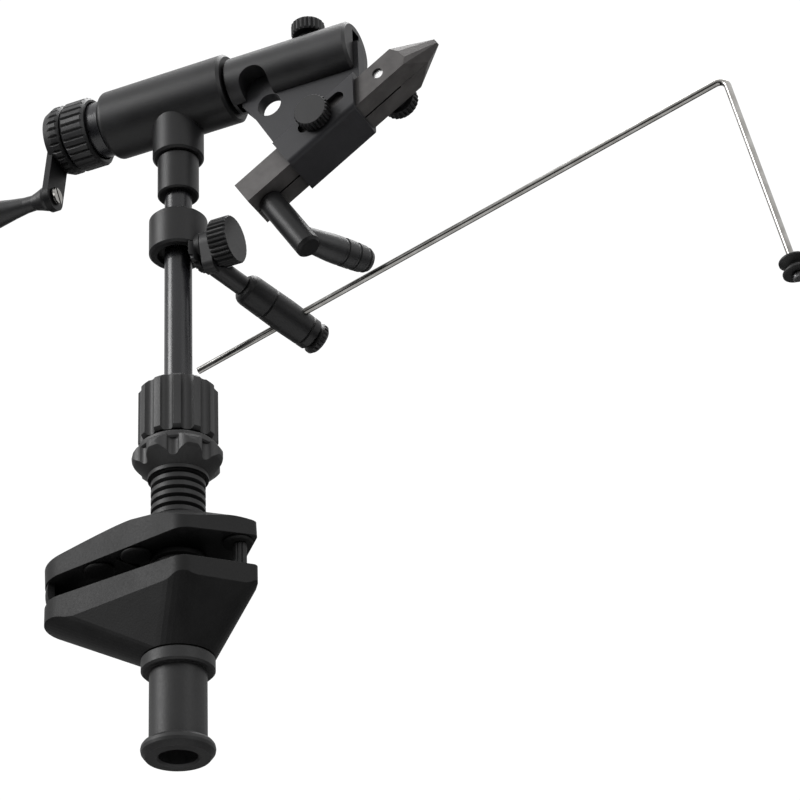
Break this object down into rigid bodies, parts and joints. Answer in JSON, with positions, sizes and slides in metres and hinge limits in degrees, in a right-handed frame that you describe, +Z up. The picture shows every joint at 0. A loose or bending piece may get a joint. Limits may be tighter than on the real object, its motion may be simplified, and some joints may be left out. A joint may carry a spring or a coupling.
{
  "type": "fly tying vise",
  "caption": "Rotary fly tying vise on a table clamp, with a cranked rotary head, cam-closed hook jaws on a tilting plate, and a bobbin cradle on its post.",
  "frame": {"origin": "on the clamp stem's axis, in the plane of the lower clamp jaw's top face, which meets a table's underside", "axes": "+Z up along the stem and post, +X along the rotary axis towards the hook jaws, +Y the side away from the tyer"},
  "size_m": [0.3204, 0.0671, 0.2811],
  "materials": {
    "moulded_black": "fine matte moulding grain",
    "grip_rubber": "matte",
    "black_anodised": "bead-blasted black anodised",
    "head_grey": "satin dark grey anodised",
    "post_steel": "satin blackened",
    "jaw_steel": "blackened steel with ground side faces",
    "plain_steel": "turned",
    "bright_steel": "polished stainless",
    "bearing_bronze": "turned bronze"
  },
  "bodies": {
    "clamp_base": {"lower_jaw": "moulded_black", "clamp_stem": "moulded_black", "fulcrum_peg": "moulded_black"},
    "upper_jaw": {"upper_jaw": "moulded_black", "grip_pads": "grip_rubber"},
    "thrust_washer": {"thrust_washer": "moulded_black"},
    "clamp_knob": {"clamp_knob": "moulded_black"},
    "collet_nut": {"collet_nut": "moulded_black"},
    "collet": {"collet": "plain_steel"},
    "post": {"post": "post_steel", "post_sleeve": "black_anodised", "housing": "black_anodised", "rear_bushing": "post_steel", "front_bushing": "bearing_bronze"},
    "rotor": {"rotary_shaft": "plain_steel", "barrel": "black_anodised", "tilt_pin": "plain_steel", "crank_hub": "black_anodised", "crank_arm": "black_anodised", "crank_screw": "plain_steel", "handle_screw": "bright_steel"},
    "drag_ring": {"drag_ring": "black_anodised", "drag_washer": "bearing_bronze"},
    "crank_handle": {"crank_handle": "black_anodised"},
    "lock_knob": {"lock_knob": "black_anodised"},
    "jaw_head": {"jaw_head": "head_grey"},
    "near_jaw": {"near_jaw": "jaw_steel"},
    "far_jaw": {"far_jaw": "jaw_steel"},
    "cam_lever": {"cam_shaft": "black_anodised", "cam_clip": "plain_steel", "cam_handle": "black_anodised"},
    "gap_wheel": {"gap_wheel": "black_anodised"},
    "slide_knob": {"slide_knob": "black_anodised"},
    "cradle_ring": {"cradle_ring": "black_anodised"},
    "cradle_knob": {"cradle_knob": "black_anodised"},
    "cradle_arm": {"cradle_arm": "black_anodised"},
    "arm_sleeve": {"arm_sleeve": "black_anodised"},
    "wire_clamp_cap": {"wire_clamp_cap": "black_anodised"},
    "cradle_wire": {"cradle_wire": "bright_steel", "wheel_nut": "plain_steel"},
    "thread_wheel": {"thread_wheel": "moulded_black"}
  },
  "joints": [
    {"name": "upper_jaw_lift", "type": "slide", "parent": "clamp_base", "child": "upper_jaw", "axis": [0, 0, 1], "range_m": [0, 0.018]},
    {"name": "thrust_travel", "type": "slide", "parent": "clamp_base", "child": "thrust_washer", "axis": [0, 0, 1], "range_m": [-0.018, 0]},
    {"name": "clamp_knob_turn", "type": "hinge", "parent": "thrust_washer", "child": "clamp_knob", "pos_m": [0, 0, 0.047], "axis": [0, 0, 1], "range_deg": [-2020, 0]},
    {"name": "collet_nut_turn", "type": "hinge", "parent": "clamp_base", "child": "collet_nut", "pos_m": [0, 0, 0.065], "axis": [0, 0, 1], "range_deg": [0, 60]},
    {"name": "heading_turn", "type": "hinge", "parent": "clamp_base", "child": "collet", "pos_m": [0, 0, 0.065], "axis": [0, 0, 1], "continuous": true},
    {"name": "post_lift", "type": "slide", "parent": "collet", "child": "post", "axis": [0, 0, 1], "range_m": [0, 0.05]},
    {"name": "rotary_spin", "type": "hinge", "parent": "post", "child": "rotor", "pos_m": [0, 0, 0.2], "axis": [1, 0, 0], "range_deg": [-345, 0]},
    {"name": "drag_ring_turn", "type": "hinge", "parent": "post", "child": "drag_ring", "pos_m": [-0.039, 0, 0.2], "axis": [1, 0, 0], "range_deg": [0, 90]},
    {"name": "crank_handle_spin", "type": "hinge", "parent": "rotor", "child": "crank_handle", "pos_m": [-0.06, -0.00435, 0.17254], "axis": [1, 0, 0], "continuous": true},
    {"name": "lock_knob_turn", "type": "hinge", "parent": "rotor", "child": "lock_knob", "pos_m": [0.0546, 0, 0.214], "axis": [0, 0, 1], "range_deg": [0, 180]},
    {"name": "head_tilt", "type": "hinge", "parent": "rotor", "child": "jaw_head", "pos_m": [0.0358, 0, 0.2032], "axis": [0, 1, 0], "range_deg": [-7, 7]},
    {"name": "jaw_slide", "type": "slide", "parent": "jaw_head", "child": "near_jaw", "axis": [0.8526, 0, 0.5225], "range_m": [-0.0035, 0.0075]},
    {"name": "cam_turn", "type": "hinge", "parent": "near_jaw", "child": "cam_lever", "pos_m": [0.04503, 0, 0.1327], "axis": [-0.5225, 0, 0.8526], "range_deg": [-90, 0]},
    {"name": "far_jaw_open", "type": "hinge", "parent": "near_jaw", "child": "far_jaw", "pos_m": [0.08541, 0, 0.17973], "axis": [-0.5225, 0, 0.8526], "range_deg": [0, 0.7]},
    {"name": "gap_wheel_turn", "type": "hinge", "parent": "near_jaw", "child": "gap_wheel", "pos_m": [0.08541, 0.011, 0.17973], "axis": [0, 1, 0], "range_deg": [-90, 90]},
    {"name": "slide_knob_turn", "type": "hinge", "parent": "near_jaw", "child": "slide_knob", "pos_m": [0.06149, -0.012, 0.16765], "axis": [0, 1, 0], "range_deg": [0, 180]},
    {"name": "cradle_swivel", "type": "hinge", "parent": "post", "child": "cradle_ring", "pos_m": [0, 0, 0.14], "axis": [0, 0, -1], "range_deg": [-300, 0]},
    {"name": "cradle_knob_turn", "type": "hinge", "parent": "cradle_ring", "child": "cradle_knob", "pos_m": [0.02, 0, 0.133], "axis": [1, 0, 0], "range_deg": [0, 180]},
    {"name": "arm_swing", "type": "hinge", "parent": "cradle_ring", "child": "cradle_arm", "pos_m": [0.0137, 0, 0.133], "axis": [1, 0, 0], "range_deg": [-30, 60]},
    {"name": "sleeve_turn", "type": "hinge", "parent": "cradle_arm", "child": "arm_sleeve", "pos_m": [0.01909, 0.01364, 0.1218], "axis": [0.4204, 0.8543, -0.3057], "range_deg": [-75, 75]},
    {"name": "clamp_cap_turn", "type": "hinge", "parent": "arm_sleeve", "child": "wire_clamp_cap", "pos_m": [0.03372, 0.04337, 0.11116], "axis": [0.4204, 0.8543, -0.3057], "range_deg": [0, 180]},
    {"name": "wire_slide", "type": "slide", "parent": "arm_sleeve", "child": "cradle_wire", "axis": [0.9625, 0, 0.2714], "range_m": [0, 0.03]},
    {"name": "thread_wheel_spin", "type": "hinge", "parent": "cradle_wire", "child": "thread_wheel", "pos_m": [0.21691, 0.0326, 0.08141], "axis": [0.19, 0, -0.9818], "continuous": true}
  ],
  "couplings": [
    {"joint": "thrust_travel", "follows": "clamp_knob_turn", "m_per_rad": 0.0005093},
    {"joint": "far_jaw_open", "follows": "cam_turn", "ratio": -0.0077777}
  ]
}
